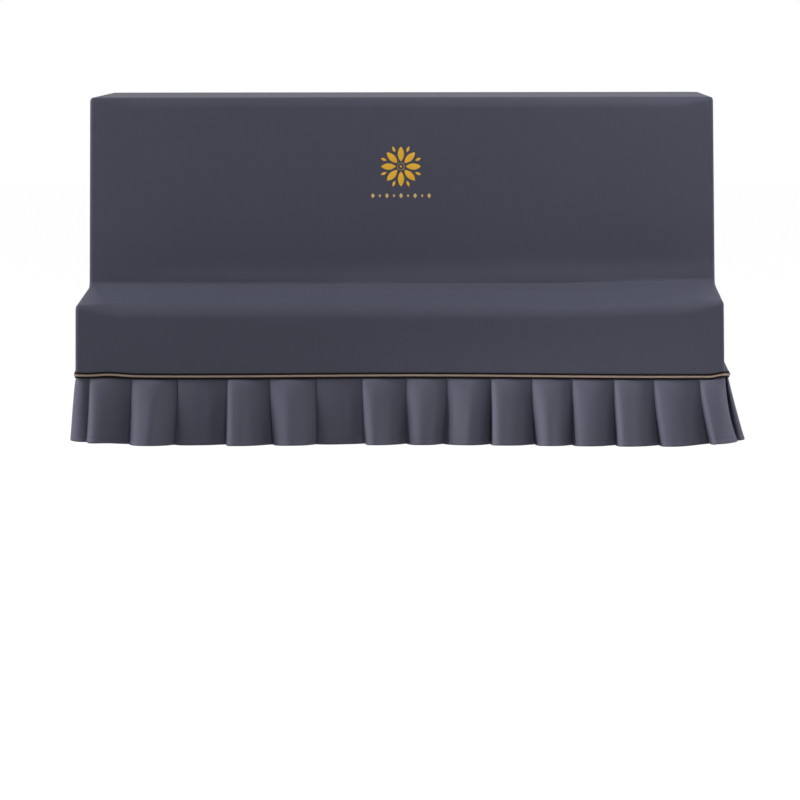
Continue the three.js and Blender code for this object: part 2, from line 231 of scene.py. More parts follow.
def bands(nodes, links, threads, direction, pitch, blur=0.0):
    wave = nodes.new("ShaderNodeTexWave")
    wave.wave_type = "BANDS"
    wave.bands_direction = direction
    wave.wave_profile = "SIN"
    wave.inputs["Scale"].default_value = 2 * math.pi / (20 * pitch)
    wave.inputs["Distortion"].default_value = blur
    wave.inputs["Detail"].default_value = 1.0
    wave.inputs["Detail Scale"].default_value = 0.6
    links.new(threads, wave.inputs["Vector"])
    return wave.outputs["Fac"]


def noisePattern(nodes, links, vector, scale, detail, stretch=None):
    if stretch:
        mapping = nodes.new("ShaderNodeMapping")
        mapping.inputs["Scale"].default_value = stretch
        links.new(vector, mapping.inputs["Vector"])
        vector = mapping.outputs["Vector"]
    pattern = nodes.new("ShaderNodeTexNoise")
    pattern.inputs["Scale"].default_value = scale
    pattern.inputs["Detail"].default_value = detail
    links.new(vector, pattern.inputs["Vector"])
    return pattern.outputs["Fac"]


def blend(nodes, links, share, first, second):
    made = nodes.new("ShaderNodeMix")
    made.data_type = "RGBA"
    made.clamp_factor = True
    if isinstance(share, float):
        made.inputs[0].default_value = share
    else:
        links.new(share, made.inputs[0])
    for socket, value in ((made.inputs[6], first), (made.inputs[7], second)):
        if isinstance(value, tuple):
            socket.default_value = (*value, 1)
        else:
            links.new(value, socket)
    return made.outputs[2]


def clothPaint(name, look):
    # Satin-faced cloth: fine diagonal threads with painted shade in the gaps between them, slubs along
    # them, and a faint cloudiness in the dye.
    material, nodes, links, shader = paint(name)
    threads = node(nodes, "ShaderNodeUVMap", uv_map="threads").outputs["UV"]
    place = nodes.new("ShaderNodeTexCoord").outputs["Object"]
    warp = bands(nodes, links, threads, "X", look["thread"])
    weft = bands(nodes, links, threads, "DIAGONAL", look["thread"] * 1.6)
    weave = math2(nodes, links, "MULTIPLY", warp, weft)
    slub = noisePattern(nodes, links, threads, 260.0, 2.0, (1.0, 0.07, 1.0))
    cloud = noisePattern(nodes, links, place, look["cloud"], 3.0)
    tone = blend(nodes, links, cloud, look["dark"], look["light"])
    # Painted shade: the gaps between the threads are painted darker, towards the shade colour.
    gaps = math2(nodes, links, "SUBTRACT", 1.0, weave)
    gapShadeMask = math2(nodes, links, "MULTIPLY", gaps, look["gapShadeStrength"])
    tone = blend(nodes, links, gapShadeMask, tone, look["between"])
    pale = math2(nodes, links, "MULTIPLY", slub, look["slub"])
    links.new(blend(nodes, links, pale, tone, look["slubTone"]), shader.inputs["Base Color"])
    height = math2(nodes, links, "ADD", weave, math2(nodes, links, "MULTIPLY", slub, 0.8))
    bump = node(nodes, "ShaderNodeBump", Strength=look["bump"], Distance=0.0002)
    links.new(height, bump.inputs["Height"])
    links.new(bump.outputs["Normal"], shader.inputs["Normal"])
    rough = math2(nodes, links, "MULTIPLY_ADD", slub, 0.12)
    rough.node.inputs[2].default_value = look["roughness"]
    links.new(rough, shader.inputs["Roughness"])
    shader.inputs["Specular IOR Level"].default_value = look["gloss"]
    shader.inputs["Sheen Weight"].default_value = look["sheen"]
    shader.inputs["Sheen Roughness"].default_value = 0.45
    shader.inputs["Sheen Tint"].default_value = (0.80, 0.84, 1.0, 1)
    return material


coverLook = {
    "dark": (0.065, 0.066, 0.093),
    "light": (0.075, 0.076, 0.105),
    # Painted shade in the gaps between the threads: its colour here, and how strongly it is painted a
    # few lines below.
    "between": (0.030, 0.031, 0.046),
    "slubTone": (0.085, 0.086, 0.117),
    "cloud": 3.2,
    "thread": 0.0007,
    "gapShadeStrength": 0.35,
    "slub": 0.35,
    "bump": 0.55,
    "roughness": 0.50,
    "gloss": 0.06,
    "sheen": 0.02,
}
# The frill's cloth is the cover's cloth painted about 1.6 times lighter, as painted light: it stands in
# for the brighter light on the frill's pleats.
frillLook = dict(coverLook, dark=(0.104, 0.102, 0.143), light=(0.118, 0.116, 0.159))
coverCloth = clothPaint("coverCloth", coverLook)
frillCloth = clothPaint("frillCloth", frillLook)


def threadPaint(name, look):
    # Wound thread: its plies run across the piece, each painted with a highlight on its crest and shade
    # in its groove.
    material, nodes, links, shader = paint(name)
    threads = node(nodes, "ShaderNodeUVMap", uv_map="threads").outputs["UV"]
    plies = bands(nodes, links, threads, look["direction"], look["pitch"], 0.6)
    fray = noisePattern(nodes, links, threads, look["fray"], 2.0)
    # Painted highlight and shade: each ply runs from the dark colour in its groove to the light one on
    # its crest.
    tone = blend(nodes, links, plies, look["dark"], look["light"])
    worn = math2(nodes, links, "MULTIPLY", fray, look["wear"])
    links.new(blend(nodes, links, worn, tone, look["dark"]), shader.inputs["Base Color"])
    bump = node(nodes, "ShaderNodeBump", Strength=look["bump"], Distance=look["pitch"] * 0.3)
    links.new(plies, bump.inputs["Height"])
    links.new(bump.outputs["Normal"], shader.inputs["Normal"])
    shader.inputs["Roughness"].default_value = look["roughness"]
    shader.inputs["Specular IOR Level"].default_value = look["gloss"]
    shader.inputs["Sheen Weight"].default_value = look["sheen"]
    return material


# In the thread looks, light is the painted highlight on each ply and dark its painted shade.
tapeLook = {
    "dark": (0.0015, 0.001, 0.001), "light": (0.007, 0.004, 0.004),
    "direction": "X", "pitch": 0.0013, "fray": 900.0, "wear": 0.4, "bump": 0.5,
    "roughness": 0.62, "gloss": 0.08, "sheen": 0.0,
}
twistLook = {
    "dark": (0.15, 0.095, 0.070), "light": (0.66, 0.52, 0.43),
    "direction": "DIAGONAL", "pitch": 0.0009, "fray": 500.0, "wear": 0.5, "bump": 0.6,
    "roughness": 0.45, "gloss": 0.3, "sheen": 0.0,
}
giltLook = {
    "dark": (0.62, 0.32, 0.012), "light": (0.86, 0.50, 0.03),
    "direction": "X", "pitch": 0.0006, "fray": 420.0, "wear": 0.25, "bump": 0.5,
    "roughness": 0.42, "gloss": 0.3, "sheen": 0.0,
}
paleGiltLook = dict(giltLook, dark=(0.50, 0.33, 0.12), light=(0.72, 0.52, 0.22))
sewingLook = {
    "dark": (0.060, 0.062, 0.082), "light": (0.14, 0.145, 0.18),
    "direction": "DIAGONAL", "pitch": 0.0004, "fray": 800.0, "wear": 0.2, "bump": 0.4,
    "roughness": 0.5, "gloss": 0.4, "sheen": 0.2,
}
tapeThread = threadPaint("tapeThread", tapeLook)
twistThread = threadPaint("twistThread", twistLook)
giltThread = threadPaint("giltThread", giltLook)
paleGiltThread = threadPaint("paleGiltThread", paleGiltLook)
sewingThread = threadPaint("sewingThread", sewingLook)
print("materials made")

# The side profile of the main panel, corner by corner from the back seam to the braid. Its folds are
# tight at the sides and soft between them, and rise is how much higher the cloth sits at the right.
profile = [
    {"at": "back seam", "y": 0.190, "z": -0.020, "radius": 0.0, "sideRadius": 0.0, "rise": 0.0},
    {"at": "back edge", "y": 0.190, "z": 0.001, "radius": 0.014, "sideRadius": 0.012, "rise": 0.0},
    {"at": "front edge", "y": -0.190, "z": 0.001, "radius": 0.026, "sideRadius": 0.012, "rise": 0.0},
    {"at": "valley", "y": -0.193, "z": -0.460, "radius": 0.013, "sideRadius": 0.014, "rise": 0.008},
    {"at": "ledge fold", "y": -0.411, "z": -0.484, "radius": 0.034, "sideRadius": 0.013, "rise": 0.010},
    {"at": "braid seam", "y": -0.411, "z": -0.65075, "radius": 0.0, "sideRadius": 0.0, "rise": 0.0},
]
top, upperFront, ledge, lowerFront = 2, 3, 4, 5  # the stretches that end at those corners


def profileStations(u, straightSteps, foldSteps):
    # Points (y, z) down the profile at a share u of the width, each with its normal, its stretch,
    # its share t of that stretch and its distance from the back seam.
    width = 2 * cover["halfWidth"]
    softness = ease(min(u, 1 - u) * width / cover["softenWidth"])
    rise = ease(1 - (1 - u) * width / cover["riseWidth"])
    corners = [Vector((c["y"], c["z"] + rise * c["rise"])) for c in profile]
    radii = [mix(c["sideRadius"], c["radius"], softness) for c in profile]
    stations = []
    run = 0.0

    def add(point, heading, stretch, t):
        nonlocal run
        if stations:
            run += (point - stations[-1][0]).length
        stations.append((point, Vector((heading.y, -heading.x)), stretch, t, run))

    start = corners[0]
    for k in range(1, len(corners)):
        into = (corners[k] - corners[k - 1]).normalized()
        last = k == len(corners) - 1
        onward = into if last else (corners[k + 1] - corners[k]).normalized()
        turn = math.atan2(into.cross(onward), into.dot(onward))
        arcStart = corners[k] - into * radii[k] * math.tan(abs(turn) / 2)
        for n in range(1 if stations else 0, straightSteps[k - 1] + 1):
            t = n / straightSteps[k - 1]
            add(start.lerp(arcStart, t), into, k, t)
        if last:
            break
        toCentre = Vector((-into.y, into.x)) * math.copysign(1, turn)
        centre = arcStart + toCentre * radii[k]
        for n in range(1, foldSteps + 1):
            bend = Matrix.Rotation(turn * n / foldSteps, 2)
            add(centre - (bend @ toCentre) * radii[k], bend @ into, k, 1.0)
        start = stations[-1][0]
    return stations


# How the lower seam lies: it waves a little, rides up at the front corners, and the gathered frill
# pushes the sides out along it.
seam = {
    "waveHeight": 0.0016,
    "waveLength": 1.130,
    "waveLowAt": -0.510,
    "cornerRise": (0.001, 0.005),  # left, right
    "cornerReach": 0.036,
    "hump": {"at": -0.690, "width": 0.040, "height": 0.0034},
    "push": (0.003, 0.013),
    "pushPeak": 0.026,
    "pushFade": 0.240,
    "pushHeight": 0.040,
}


def nearCorner(x, y, reach):
    return ease(1 - math.hypot(abs(x) - sideX(cover["seam"]), y - cover["frontY"]) / reach)


def seamRise(x, y):
    turn = 2 * math.pi * (x - seam["waveLowAt"]) / seam["waveLength"]
    wave = -seam["waveHeight"] * math.cos(turn)
    bump = seam["hump"]
    wave += bump["height"] * hump(x - bump["at"], bump["width"])
    return wave + seam["cornerRise"][x > 0] * nearCorner(x, y, seam["cornerReach"])


def pushedOut(x, y, z):
    run = y - cover["frontY"] - inset
    along = ease(run / seam["pushPeak"]) * ease(1 - (run - seam["pushPeak"]) / seam["pushFade"])
    return seam["push"][x > 0] * along * ease(1 - (z - cover["seam"]) / seam["pushHeight"])


# Main panel

mainPanel = {
    "thickness": 0.0013,
    "upperBillow": 0.004,
    "ledgeRise": 0.004,
    "lowerWave": 0.0016,
    "pucker": 0.0005,  # how deep the cloth is drawn in by the side seams
    "puckerWidth": 0.016,
}
# Soft creases, from and to (x, distance from the back seam). A ridge has a depth above 0,
# a trough below 0, and each fades towards its ends.
creases = [
    {"from": (-0.68, 0.832), "to": (0.12, 0.838), "width": 0.024, "depth": 0.0062},
    {"from": (-0.12, 0.840), "to": (0.90, 0.832), "width": 0.034, "depth": 0.0115},
    {"from": (-0.70, 0.852), "to": (-0.28, 0.854), "width": 0.008, "depth": -0.0010},
    {"from": (-0.27, 0.856), "to": (-0.20, 0.848), "width": 0.006, "depth": -0.0014},
    {"from": (-0.19, 0.846), "to": (-0.13, 0.852), "width": 0.006, "depth": -0.0010},
    {"from": (-0.10, 0.852), "to": (0.58, 0.848), "width": 0.008, "depth": -0.0012},
    {"from": (0.735, 0.800), "to": (0.640, 0.840), "width": 0.012, "depth": 0.0012},
    {"from": (-0.745, 0.806), "to": (-0.660, 0.842), "width": 0.012, "depth": 0.0010},
    {"from": (0.752, 0.880), "to": (0.690, 1.060), "width": 0.014, "depth": 0.0010},
    {"from": (-0.752, 0.880), "to": (-0.700, 1.050), "width": 0.013, "depth": 0.0009},
    {"from": (-0.752, 0.430), "to": (-0.640, 0.475), "width": 0.016, "depth": 0.0010},
    {"from": (0.752, 0.428), "to": (0.660, 0.482), "width": 0.016, "depth": 0.0010},
    {"from": (-0.40, 1.090), "to": (-0.12, 1.112), "width": 0.020, "depth": 0.0010},
    {"from": (0.16, 1.120), "to": (0.50, 1.098), "width": 0.022, "depth": 0.0010},
]


def unevenness(stretch, t, u):
    held = math.sin(math.pi * t) * math.sin(math.pi * u)
    wander = math.sin(7.3 * u + 0.6) + 0.6 * math.sin(12.1 * u + 2.2)
    if stretch == upperFront:
        return held * mainPanel["upperBillow"] * (0.4 + 0.45 * wander)
    if stretch == ledge:
        return held * mainPanel["ledgeRise"] * (0.8 + 0.2 * wander)
    if stretch == lowerFront:
        return held * mainPanel["lowerWave"] * wander
    return 0.0


def creaseDepth(x, run):
    total = 0.0
    for crease in creases:
        (x0, r0), (x1, r1) = crease["from"], crease["to"]
        dx, dr = x1 - x0, r1 - r0
        share = ((x - x0) * dx + (run - r0) * dr) / (dx * dx + dr * dr)
        nearest = min(max(share, 0.0), 1.0)
        away = math.hypot(x - x0 - nearest * dx, run - r0 - nearest * dr)
        if away < 3 * crease["width"]:
            fading = 0.25 + 0.75 * math.sin(math.pi * nearest)
            total += crease["depth"] * hump(away, crease["width"]) * fading
    return total


def turnedEdges(shares):
    # Places across a long panel: (share of the width, how far beyond, how far turned inwards).
    radius = cover["edgeTurn"]
    angles = spread(math.pi / 2, 0, 6)[:-1]
    turn = [(math.sin(a) * radius, (1 - math.cos(a)) * radius) for a in angles]
    left = [(0.0, *place) for place in turn]
    right = [(1.0, *place) for place in reversed(turn)]
    return left + [(u, 0.0, 0.0) for u in shares] + right


def acrossX(column, z):
    u, beyond, _ = column
    half = sideX(z) - cover["edgeTurn"]
    return mix(-half, half, u) + math.copysign(beyond, u - 0.5)


def seamPucker(distance, along, settings):
    wander = math.sin(along / 0.0105) + 0.7 * math.sin(along / 0.0063 + 1.3)
    return -settings["pucker"] * (0.6 + 0.4 * wander) * hump(distance, settings["puckerWidth"])


def addMainPanel():
    shares = spread(0, 0.03, 9)[:-1] + spread(0.03, 0.97, 122) + spread(0.97, 1, 9)[1:]
    grid = []
    for column in turnedEdges(shares):
        u, _, inward = column
        line = []
        for point, normal, stretch, t, run in profileStations(u, [3, 24, 46, 24, 22], 9):
            edge = min(u, 1 - u) * 2 * cover["halfWidth"]
            x = acrossX(column, point.y)
            out = unevenness(stretch, t, u) - inward + seamPucker(edge, run, mainPanel)
            out += creaseDepth(x, run) * (1 - inward / cover["edgeTurn"])
            y, z = point + normal * out
            x = acrossX(column, z)
            lift = t * seamRise(x, y) if stretch == lowerFront else 0.0
            line.append(Vector((x, y, z + lift)))
        grid.append(line)
    piece, _ = clothPiece("mainPanelCloth", grid, mainPanel["thickness"], coverCloth)
    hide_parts("main_panel")
    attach(piece, "root")
    return piece


mainPanelCloth = addMainPanel()
print("main panel made")

# Side panels

sidePanel = {
    "thickness": 0.0013,
    "billow": 0.003,
    "fold": 0.0016,  # soft upright folds that fade towards the top
    "foldLength": 0.031,
    "foldDrift": 0.09,
    "foldFade": 0.06,  # and by the seams
    "pucker": 0.0005,
    "puckerWidth": 0.014,
}


def addSidePanel(name, cadNode, side):
    stations = profileStations(0 if side < 0 else 1, [1, 1, 44, 14, 26], 8)
    topEnd = next(k for k, s in enumerate(stations) if s[2] == top and s[3] == 1.0)
    columns = spread(0, 0.1, 12)[:-1] + spread(0.1, 0.94, 44) + spread(0.94, 1, 6)[1:]
    grid = []
    for k, (point, normal, _, _, run) in enumerate(stations[topEnd:], topEnd):
        front = point - normal * inset
        back = min(sideBack, -front.x)
        foot = k == len(stations) - 1
        line = []
        for share in columns:
            y = mix(front.x, back, share)
            z = front.y + (seamRise(side * sideX(front.y), y) if foot else 0.0)
            edge = min(share, 1 - share) * (back - front.x)
            billow = sidePanel["billow"] * math.sin(math.pi * share)
            billow *= math.sin(math.pi * z / -cover["seam"]) ** 2
            drift = 1.7 * math.sin(y / sidePanel["foldDrift"])
            fold = math.sin(y / sidePanel["foldLength"] + drift) * ease(-z / 0.6 - 0.2)
            fold *= ease(edge / sidePanel["foldFade"])
            out = pushedOut(side, y, z) - billow + sidePanel["fold"] * fold
            out += seamPucker(edge, run, sidePanel)
            line.append(Vector((side * (sideX(z) + out), y, z)))
        grid.append(line if side < 0 else line[::-1])
    piece, _ = clothPiece(name, grid, sidePanel["thickness"], coverCloth)
    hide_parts(cadNode)
    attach(piece, "root")
    return piece


addSidePanel("sidePanelClothLeft", "side_panel_left", -1)
addSidePanel("sidePanelClothRight", "side_panel_right", 1)
print("side panels made")

# Stitching

# The shape of a stitch, ring by ring: the share of its length, its swelling and its height, both in
# thicknesses of the thread. It sinks into the cloth at both its ends.
stitchRings = [(0.0, 0.35, -0.5), (0.25, 1.0, 0.35), (0.75, 1.0, 0.35), (1.0, 0.35, -0.5)]
stitchSides = 5


def stitchRow(name, path, normals, stitch, material, lift):
    points, faces, uvs = [], [], []
    travelled, nextAt = 0.0, stitch["gap"]
    ends = []
    for k in range(1, len(path)):
        step = (path[k] - path[k - 1]).length
        while step > 0 and travelled + step >= nextAt:
            share = (nextAt - travelled) / step
            facing = normals[k - 1].lerp(normals[k], share).normalized()
            ends.append((path[k - 1].lerp(path[k], share), facing))
            nextAt += stitch["gap"] if len(ends) % 2 == 0 else stitch["length"]
        travelled += step
    for (start, normal), (end, _) in zip(ends[::2], ends[1::2]):
        along = (end - start).normalized()
        side = along.cross(normal)
        first = len(points)
        for share, swell, height in stitchRings:
            centre = start.lerp(end, share) + normal * (lift + stitch["thick"] * height)
            for n in range(stitchSides):
                angle = 2 * math.pi * n / stitchSides
                rim = side * math.cos(angle) + normal * math.sin(angle)
                points.append(centre + rim * stitch["thick"] / 2 * swell)
                uvs.append((share * stitch["length"], n * stitch["thick"] / 2))
        for ring in range(len(stitchRings) - 1):
            at = first + ring * stitchSides
            for n in range(stitchSides):
                a, b = at + n, at + (n + 1) % stitchSides
                faces.append((a, b, b + stitchSides, a + stitchSides))
        lastRing = first + (len(stitchRings) - 1) * stitchSides
        faces.append(tuple(first + n for n in reversed(range(stitchSides))))
        faces.append(tuple(lastRing + n for n in range(stitchSides)))
    piece = makePiece(name, points, faces, material, uvs)
    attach(piece, "root")
    return piece


hemStitch = {"length": 0.0026, "gap": 0.0009, "thick": 0.0006}

# Back panel

backPanel = {
    "thickness": 0.0013,
    "seamLine": -0.0205,  # height of the seam at its top
    "billow": 0.002,
    "fold": 0.0016,  # soft upright folds that fade towards the top
    "foldLength": 0.043,
    "foldDrift": 0.13,
    "foldFade": 0.08,  # and by the seams
    "pucker": 0.0005,
    "puckerWidth": 0.014,
    "hemHeight": 0.022,
    "hemDoubled": 0.0005,
    "hemDrawn": 0.0006,  # how deep the stitches draw the cloth in
    "hemPucker": 0.0004,
    "stitchLift": 0.0007,
}


def addBackPanel():
    shares = spread(0, 0.03, 8)[:-1] + spread(0.03, 0.97, 100) + spread(0.97, 1, 8)[1:]
    hemLine = cover["hem"] + backPanel["hemHeight"]
    seamLine = backPanel["seamLine"]
    heights = spread(cover["hem"], hemLine - 0.003, 5)
    heights += spread(hemLine, seamLine - 0.02, 64)
    heights += spread(seamLine - 0.016, seamLine, 5)
    grid = []
    for column in turnedEdges(shares):
        u, _, inward = column
        line = []
        for z in heights:
            x = acrossX(column, z)
            t = (z - cover["hem"]) / (seamLine - cover["hem"])
            edge = min(u, 1 - u) * 2 * cover["halfWidth"]
            out = backPanel["billow"] * math.sin(math.pi * u) * math.sin(math.pi * t)
            out *= math.sin(9 * u + 5 * t)
            drift = 1.4 * math.sin(x / backPanel["foldDrift"])
            fold = backPanel["fold"] * ease(1 - t) * math.sin(x / backPanel["foldLength"] + drift)
            out += fold * ease(edge / backPanel["foldFade"]) * ease(t / 0.02 + 0.3)
            out += seamPucker(edge, z, backPanel) + seamPucker(seamLine - z, x, backPanel)
            doubled = backPanel["hemDoubled"] if z < hemLine else 0.0
            out += doubled - backPanel["hemDrawn"] * hump(z - hemLine, 0.0016)
            out += backPanel["hemPucker"] * math.sin(x / 0.0048) * hump(z - hemLine, 0.008)
            line.append(Vector((x, cover["halfDepth"] - inward + out, z)))
        grid.append(line)
    piece, grid = clothPiece("backPanelCloth", grid, backPanel["thickness"], coverCloth)
    hemRow = min(range(len(heights)), key=lambda k: abs(heights[k] - hemLine))
    path = [line[hemRow] for line in grid]
    facing = [Vector((0, 1, 0))] * len(path)
    lift = backPanel["stitchLift"]
    stitches = stitchRow("backHemStitches", path, facing, hemStitch, sewingThread, lift)
    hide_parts("back_panel")
    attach(piece, "root")


addBackPanel()
print("back panel made")


# The line that the frill and the braid follow, seen from above: forward along the left side, across
# the front and back along the right side.
def threeSides(halfX, nearY, radius):
    sideRun = sideBack - nearY - radius
    arcRun = math.pi / 2 * radius
    frontRun = 2 * (halfX - radius)
    length = 2 * (sideRun + arcRun) + frontRun

    def turned(side, facing, out, z):
        reach = radius + out
        x = side * (halfX - radius) + reach * math.cos(facing)
        return Vector((x, nearY + radius + reach * math.sin(facing), z))

    def place(s, out, z):
        d = s
        if d <= sideRun:
            return Vector((-halfX - out, sideBack - d, z))
        d -= sideRun
        if d <= arcRun:
            return turned(-1, math.pi + d / radius, out, z)
        d -= arcRun
        if d <= frontRun:
            return Vector((-halfX + radius + d, nearY - out, z))
        d -= frontRun
        if d <= arcRun:
            return turned(1, 1.5 * math.pi + d / radius, out, z)
        d -= arcRun
        return Vector((halfX + out, nearY + radius + d, z))

    return place, sideRun, arcRun, length


# Frill

frill = {
    "thickness": 0.0011,
    "layerStep": 0.0028,
    "inset": 0.0077,
    "corner": 0.014,
    "foldNose": 0.0014,
    "reachCurve": 1.15,
    "leanCurve": 1.5,
    "crownCurve": 0.45,
    "crownStart": 0.045,  # the swelling starts below the braid, at this share of the drop
    "tuckOpening": 0.25,
    "tuckOut": 0.006,
    "endOut": 0.012,
    "endCrown": 0.005,
    "drawnUp": 1.5,  # cloth that stands out by d hangs higher by this times d squared
    "hemLift": 0.0045,
    "hemLiftReach": 0.130,
    "ripple": 0.0012,
    "hemHeight": 0.011,
    "hemDoubled": 0.0004,
    "hemDrawn": 0.0006,  # how deep the stitches draw the cloth in
    "hemPucker": 0.00035,
    "stitchLift": 0.0006,
}
# Its pleats, in millimetres. x is where the fold leaves the braid, lap the cloth tucked behind it,
# lean how far it has drifted along at the hem, reach how far it stands out there, open how far its
# layers part there, crown how much further the panel swells beside the fold, and peak the share of
# the panel's width at which it swells most.
frontPleats = [
    {"x": -736, "lap": 20, "lean": -8, "reach": 8, "open": 3, "crown": 28, "peak": 0.25},
    {"x": -635, "lap": 24, "lean": -5, "reach": 16, "open": 3, "crown": 40, "peak": 0.41},
    {"x": -524, "lap": 25, "lean": -9, "reach": 8, "open": 3, "crown": 12, "peak": 0.33},
    {"x": -407, "lap": 22, "lean": -2, "reach": 18, "open": 2, "crown": 40, "peak": 0.20},
    {"x": -306, "lap": 24, "lean": 10, "reach": 18, "open": 3, "crown": 40, "peak": 0.43},
    {"x": -193, "lap": 22, "lean": 0, "reach": 8, "open": 2, "crown": 8, "peak": 0.38},
    {"x": -86, "lap": 23, "lean": 10, "reach": 18, "open": 3, "crown": 40, "peak": 0.23},
    {"x": 20, "lap": 20, "lean": 1, "reach": 10, "open": 3, "crown": 40, "peak": 0.41},
    {"x": 118, "lap": 25, "lean": -11, "reach": 8, "open": 3, "crown": 39, "peak": 0.47},
    {"x": 221, "lap": 20, "lean": 0, "reach": 18, "open": 2, "crown": 40, "peak": 0.20},
    {"x": 318, "lap": 20, "lean": 10, "reach": 18, "open": 3, "crown": 40, "peak": 0.34},
    {"x": 414, "lap": 22, "lean": 2, "reach": 18, "open": 3, "crown": 33, "peak": 0.30},
    {"x": 513, "lap": 21, "lean": 6, "reach": 18, "open": 3, "crown": 35, "peak": 0.20},
    {"x": 607, "lap": 25, "lean": 16, "reach": 18, "open": 4, "crown": 29, "peak": 0.20},
    {"x": 715, "lap": 22, "lean": 28, "reach": 18, "open": 4, "crown": 34, "peak": 0.20},
]
# Those at the sides. run is the distance from the front corner.
leftPleats = [
    {"run": 498, "lap": 22, "lean": 2, "reach": 9, "open": 3, "crown": 12, "peak": 0.3},
    {"run": 392, "lap": 24, "lean": -3, "reach": 10, "open": 3, "crown": 14, "peak": 0.3},
    {"run": 285, "lap": 22, "lean": 2, "reach": 9, "open": 3, "crown": 12, "peak": 0.3},
    {"run": 178, "lap": 24, "lean": -2, "reach": 10, "open": 3, "crown": 13, "peak": 0.3},
    {"run": 72, "lap": 22, "lean": -4, "reach": 8, "open": 4, "crown": 14, "peak": 0.3},
]
rightPleats = [
    {"run": 20, "lap": 24, "lean": 6, "reach": 40, "open": 11, "crown": 6, "peak": 0.28},
    {"run": 126, "lap": 22, "lean": 3, "reach": 12, "open": 3, "crown": 16, "peak": 0.28},
    {"run": 232, "lap": 24, "lean": -3, "reach": 12, "open": 4, "crown": 18, "peak": 0.28},
    {"run": 338, "lap": 22, "lean": 3, "reach": 12, "open": 3, "crown": 14, "peak": 0.28},
    {"run": 444, "lap": 24, "lean": -2, "reach": 12, "open": 3, "crown": 18, "peak": 0.28},
]

frillPlace, frillSideRun, frillArcRun, frillLength = threeSides(
    sideX(cover["seam"]) - frill["inset"], cover["frontY"] + frill["inset"], frill["corner"]
)
leftCorner = frillSideRun + frillArcRun / 2
rightCorner = frillLength - leftCorner
pleats = [dict(p, s=leftCorner - p["run"] / 1000) for p in leftPleats]
pleats += [dict(p, s=frillLength / 2 + p["x"] / 1000) for p in frontPleats]
pleats += [dict(p, s=rightCorner + p["run"] / 1000) for p in rightPleats]
dice = random.Random(7)
for pleat in pleats:
    pleat["phase"] = dice.uniform(0, 6.28)
    pleat["ripple"] = dice.uniform(0.5, 1.3)
noPleat = {"peak": 0.3, "phase": 1.0, "ripple": 0.7}


def pleatEnds(n, t):
    # Where the cloth of pleat n lies at a share t of the drop. Pleat -1 is the panel at the back
    # left end, which has no folded edge, and the last panel has no tuck.
    pleat = pleats[n] if n >= 0 else noPleat
    after = pleats[n + 1] if n + 1 < len(pleats) else None
    endOut = frill["layerStep"] + frill["endOut"] * t
    drift = t ** frill["leanCurve"]
    swollen = max((t - frill["crownStart"]) / (1 - frill["crownStart"]), 0.0) ** frill["crownCurve"]
    nextFold, lap = frillLength, 0.0
    if after:
        nextFold = after["s"] + after["lean"] / 1000 * drift
        lap = after["lap"] / 1000 * (1 - frill["tuckOpening"] * t)
    fold, foldOut, layers, crown = 0.0, endOut, frill["layerStep"], frill["endCrown"]
    if n >= 0:
        fold = pleat["s"] + pleat["lean"] / 1000 * drift
        foldOut = 2 * frill["layerStep"] + pleat["reach"] / 1000 * t ** frill["reachCurve"]
        layers = frill["layerStep"] + pleat["open"] / 1000 * t
        crown = pleat["crown"] / 1000
    return {
        "fold": fold,
        "foldOut": foldOut,
        "layers": layers,
        "crown": crown * swollen,
        "nextFold": nextFold,
        "tuck": nextFold + lap,
        "backOut": frill["tuckOut"] * t if after else endOut,
        "peak": pleat["peak"],
        "phase": pleat["phase"],
        "ripple": pleat["ripple"],
    }


def fallFrom(ends):
    # The share of a panel's width from which it falls back to its tuck. The two panels that round a
    # front corner only fall back as they turn.
    for corner in (leftCorner, rightCorner):
        if ends["fold"] < corner < ends["nextFold"]:
            width = ends["nextFold"] - ends["fold"]
            return (corner - frillArcRun / 2 - ends["fold"]) / width
    return 0.0


# Shares of a panel's width, closest together by its fold.
panelShares = [0.0, 0.02, 0.045, 0.08, 0.12, 0.165, 0.21, 0.26, 0.31, 0.36]
panelShares += [0.42, 0.48, 0.54, 0.60, 0.66, 0.72, 0.78, 0.84, 0.90, 0.95, 1.0]


def frillSection(first, last, t):
    # The line of cloth at a share t of the drop: (distance along, how far out).
    step = frill["layerStep"]
    section = []
    for n in range(first, last + 1):
        ends = pleatEnds(n, t)
        if n >= 0:
            before = pleatEnds(n - 1, t)
            tuck, backOut = before["tuck"], before["backOut"]
            if n > first:
                for angle in spread(-math.pi / 2, math.pi / 2, 5)[1:-1]:
                    out = backOut + step / 2 * (1 + math.sin(angle))
                    section.append((tuck + frill["foldNose"] * math.cos(angle), out))
            start = tuck if n > first else tuck - 2 * cover["sewnGap"]
            behind = ends["foldOut"] - ends["layers"]
            for share in spread(0, 1, 9):
                out = mix(backOut + step, behind, share)
                section.append((mix(start, ends["fold"], share), out))
            nose = frill["foldNose"] * ends["layers"] / step
            for angle in spread(-math.pi / 2, math.pi / 2, 8)[1:-1]:
                out = ends["foldOut"] - ends["layers"] / 2 * (1 - math.sin(angle))
                section.append((ends["fold"] - nose * math.cos(angle), out))
        turning = fallFrom(ends)
        for share in panelShares:
            fall = ease((share - turning) / (1 - turning))
            swell = math.sin(math.pi * share ** (math.log(0.5) / math.log(ends["peak"])))
            out = mix(ends["foldOut"], ends["backOut"], fall) + ends["crown"] * swell
            wave = math.sin(2 * math.pi * share * 1.7 + ends["phase"])
            wave += 0.6 * math.sin(2 * math.pi * share * 3.1 + 2 * ends["phase"])
            wave *= math.sin(math.pi * share) * ease(t * 1.6)
            out += frill["ripple"] * ends["ripple"] * wave
            section.append((mix(ends["fold"], ends["nextFold"], share), out))
        if n + 1 < len(pleats):
            for share in spread(0, 1, 4)[1:]:
                section.append((mix(ends["nextFold"], ends["tuck"], share), ends["backOut"]))
    return section


